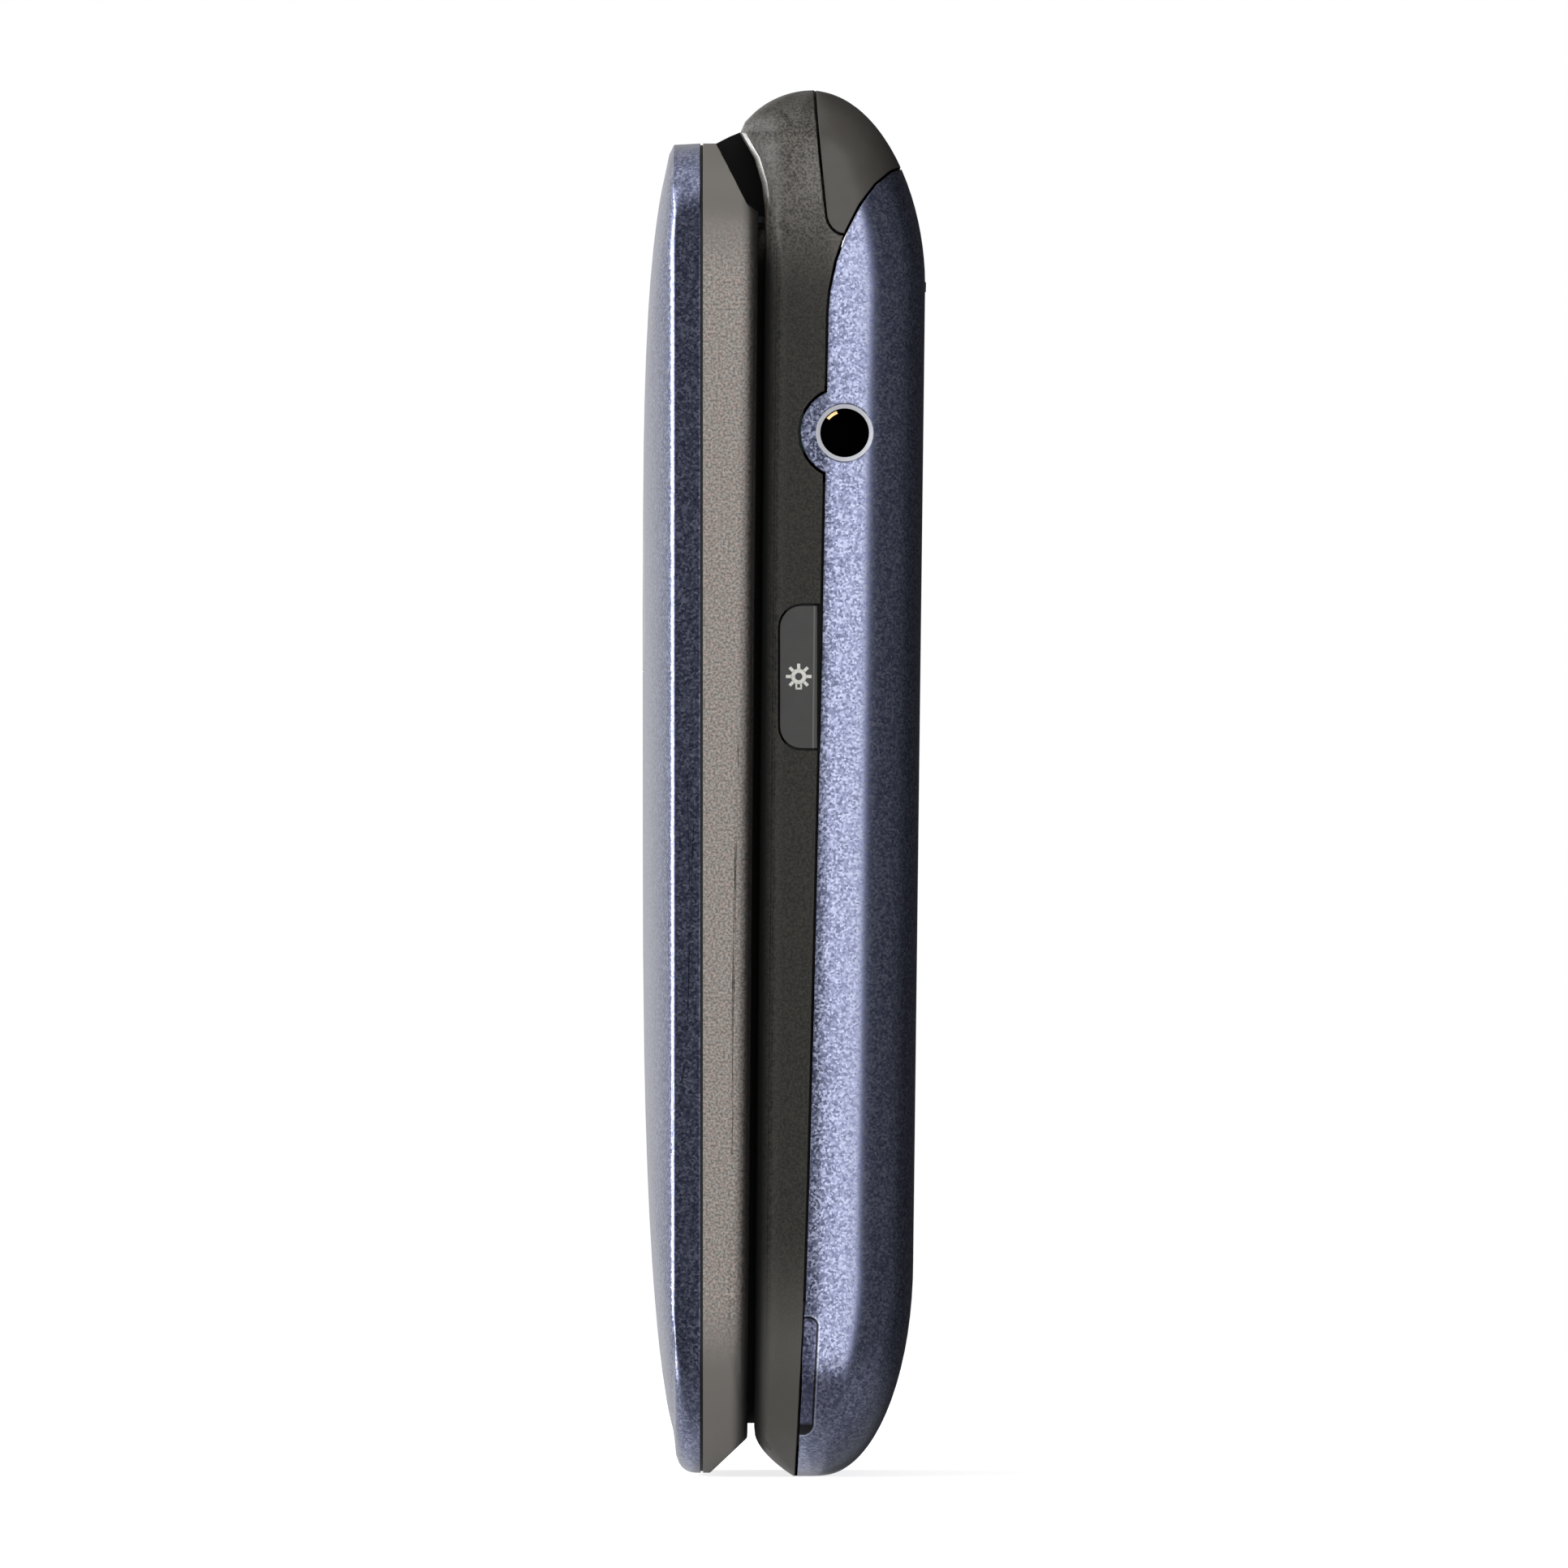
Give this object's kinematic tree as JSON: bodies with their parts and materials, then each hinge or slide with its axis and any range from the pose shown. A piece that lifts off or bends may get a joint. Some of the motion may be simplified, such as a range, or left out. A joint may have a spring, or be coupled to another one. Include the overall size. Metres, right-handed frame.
{
  "type": "flip phone",
  "caption": "Closed clamshell phone: crowned blue lid on a hinge barrel, dark frame and housing, lift-off battery cover, headset jack, torch key and a full keypad under the lid.",
  "frame": {"origin": "centre of the bounding box at its bottom, where the closed phone stands on its lower end", "axes": "+Z from the resting end to the hinge, +X from the lid's front to the battery side, +Y to the phone's left side seen from the keypad"},
  "size_m": [0.021, 0.052, 0.1023],
  "materials": {
    "blue_flake": "satin metallic flake paint on plastic",
    "housing_plastic": "fine mottled grain",
    "cap_plastic": "smooth satin",
    "frame_plastic": "fine mottled grain, smooth at the ends",
    "side_key_plastic": "smooth satin",
    "key_plastic": "smooth, pale printed legends",
    "ring_metal": "satin silver paint",
    "black_plastic": "fine matt",
    "can_label": "can under a plain label",
    "board_green": "solder mask",
    "spring_steel": "bare steel",
    "brass_parts": "plain",
    "pale_plastic": "self-lubricating plastic",
    "film_amber": "flexible circuit film",
    "window_glass": "clear, black printed border",
    "display_glass": "dark glass stack",
    "lamp_lens": "clear lens",
    "bumper_rubber": "matt"
  },
  "bodies": {
    "base": {"front_housing": "housing_plastic", "rear_cap": "cap_plastic", "middle_frame": "black_plastic", "battery": "can_label", "battery_contacts": "black_plastic", "main_board": "board_green", "dome_sheet": "spring_steel", "torch_switch": "spring_steel", "volume_switches": "spring_steel", "headset_jack": "black_plastic", "charging_socket": "spring_steel", "loudspeaker": "black_plastic", "microphone": "brass_parts", "vibration_motor": "spring_steel", "antenna": "brass_parts", "sim_holder": "spring_steel", "camera": "black_plastic", "camera_window": "window_glass", "torch_lamp": "lamp_lens", "base_screws": "spring_steel", "hinge_shaft": "spring_steel", "hinge_bush": "pale_plastic"},
    "lid": {"lid_cover": "blue_flake", "lid_frame": "frame_plastic", "hinge_cartridge": "spring_steel", "hinge_spring": "spring_steel", "lid_ribbon": "film_amber", "outer_window": "window_glass", "outer_display": "display_glass", "main_window": "window_glass", "main_display": "display_glass", "lid_board": "black_plastic", "earpiece": "black_plastic", "lid_magnet": "spring_steel", "lid_screws": "spring_steel", "lid_bumpers": "bumper_rubber"},
    "battery_cover": {"battery_cover": "blue_flake"},
    "vibration_weight": {"vibration_weight": "spring_steel"},
    "key_star": {"key_star": "key_plastic"},
    "key_0": {"key_0": "key_plastic"},
    "key_hash": {"key_hash": "key_plastic"},
    "key_1": {"key_1": "key_plastic"},
    "key_2": {"key_2": "key_plastic"},
    "key_3": {"key_3": "key_plastic"},
    "key_4": {"key_4": "key_plastic"},
    "key_5": {"key_5": "key_plastic"},
    "key_6": {"key_6": "key_plastic"},
    "key_7": {"key_7": "key_plastic"},
    "key_8": {"key_8": "key_plastic"},
    "key_9": {"key_9": "key_plastic"},
    "soft_key_left": {"soft_key_left": "key_plastic"},
    "soft_key_right": {"soft_key_right": "key_plastic"},
    "call_key": {"call_key": "key_plastic"},
    "end_key": {"end_key": "key_plastic"},
    "direction_ring": {"direction_ring": "ring_metal"},
    "centre_key": {"centre_key": "key_plastic"},
    "torch_key": {"torch_key": "side_key_plastic"},
    "volume_up_key": {"volume_up_key": "side_key_plastic"},
    "volume_down_key": {"volume_down_key": "side_key_plastic"}
  },
  "joints": [
    {"name": "lid_hinge", "type": "hinge", "parent": "base", "child": "lid", "pos_m": [0.00261, 0, 0.09768], "axis": [0, 1, 0], "range_deg": [0, 160]},
    {"name": "cover_lift_off", "type": "slide", "parent": "base", "child": "battery_cover", "axis": [1, 0, 0], "range_m": [0, 0.03]},
    {"name": "weight_spin", "type": "hinge", "parent": "base", "child": "vibration_weight", "pos_m": [0.00495, 0.017, 0.0105], "axis": [0, 1, 0], "continuous": true},
    {"name": "key_star_press", "type": "slide", "parent": "base", "child": "key_star", "axis": [1, 0, -0.0093], "range_m": [0, 0.00035], "stiffness_N_per_m": 4000},
    {"name": "key_0_press", "type": "slide", "parent": "base", "child": "key_0", "axis": [1, 0, -0.0093], "range_m": [0, 0.00035], "stiffness_N_per_m": 4000},
    {"name": "key_hash_press", "type": "slide", "parent": "base", "child": "key_hash", "axis": [1, 0, -0.0093], "range_m": [0, 0.00035], "stiffness_N_per_m": 4000},
    {"name": "key_1_press", "type": "slide", "parent": "base", "child": "key_1", "axis": [1, 0, -0.0093], "range_m": [0, 0.00035], "stiffness_N_per_m": 4000},
    {"name": "key_2_press", "type": "slide", "parent": "base", "child": "key_2", "axis": [1, 0, -0.0093], "range_m": [0, 0.00035], "stiffness_N_per_m": 4000},
    {"name": "key_3_press", "type": "slide", "parent": "base", "child": "key_3", "axis": [1, 0, -0.0093], "range_m": [0, 0.00035], "stiffness_N_per_m": 4000},
    {"name": "key_4_press", "type": "slide", "parent": "base", "child": "key_4", "axis": [1, 0, -0.0093], "range_m": [0, 0.00035], "stiffness_N_per_m": 4000},
    {"name": "key_5_press", "type": "slide", "parent": "base", "child": "key_5", "axis": [1, 0, -0.0093], "range_m": [0, 0.00035], "stiffness_N_per_m": 4000},
    {"name": "key_6_press", "type": "slide", "parent": "base", "child": "key_6", "axis": [1, 0, -0.0093], "range_m": [0, 0.00035], "stiffness_N_per_m": 4000},
    {"name": "key_7_press", "type": "slide", "parent": "base", "child": "key_7", "axis": [1, 0, -0.0093], "range_m": [0, 0.00035], "stiffness_N_per_m": 4000},
    {"name": "key_8_press", "type": "slide", "parent": "base", "child": "key_8", "axis": [1, 0, -0.0093], "range_m": [0, 0.00035], "stiffness_N_per_m": 4000},
    {"name": "key_9_press", "type": "slide", "parent": "base", "child": "key_9", "axis": [1, 0, -0.0093], "range_m": [0, 0.00035], "stiffness_N_per_m": 4000},
    {"name": "soft_key_left_press", "type": "slide", "parent": "base", "child": "soft_key_left", "axis": [1, 0, -0.0093], "range_m": [0, 0.00035], "stiffness_N_per_m": 4000},
    {"name": "soft_key_right_press", "type": "slide", "parent": "base", "child": "soft_key_right", "axis": [1, 0, -0.0093], "range_m": [0, 0.00035], "stiffness_N_per_m": 4000},
    {"name": "call_key_press", "type": "slide", "parent": "base", "child": "call_key", "axis": [1, 0, -0.0093], "range_m": [0, 0.00035], "stiffness_N_per_m": 4000},
    {"name": "end_key_press", "type": "slide", "parent": "base", "child": "end_key", "axis": [1, 0, -0.0093], "range_m": [0, 0.00035], "stiffness_N_per_m": 4000},
    {"name": "direction_ring_press", "type": "slide", "parent": "base", "child": "direction_ring", "axis": [1, 0, -0.0093], "range_m": [0, 0.00035], "stiffness_N_per_m": 4000},
    {"name": "centre_key_press", "type": "slide", "parent": "base", "child": "centre_key", "axis": [1, 0, -0.0093], "range_m": [0, 0.00035], "stiffness_N_per_m": 4000},
    {"name": "torch_key_press", "type": "slide", "parent": "base", "child": "torch_key", "axis": [0, 1, 0], "range_m": [0, 0.00035], "stiffness_N_per_m": 4000},
    {"name": "volume_up_key_press", "type": "slide", "parent": "base", "child": "volume_up_key", "axis": [0, -1, 0], "range_m": [0, 0.00035], "stiffness_N_per_m": 4000},
    {"name": "volume_down_key_press", "type": "slide", "parent": "base", "child": "volume_down_key", "axis": [0, -1, 0], "range_m": [0, 0.00035], "stiffness_N_per_m": 4000}
  ]
}
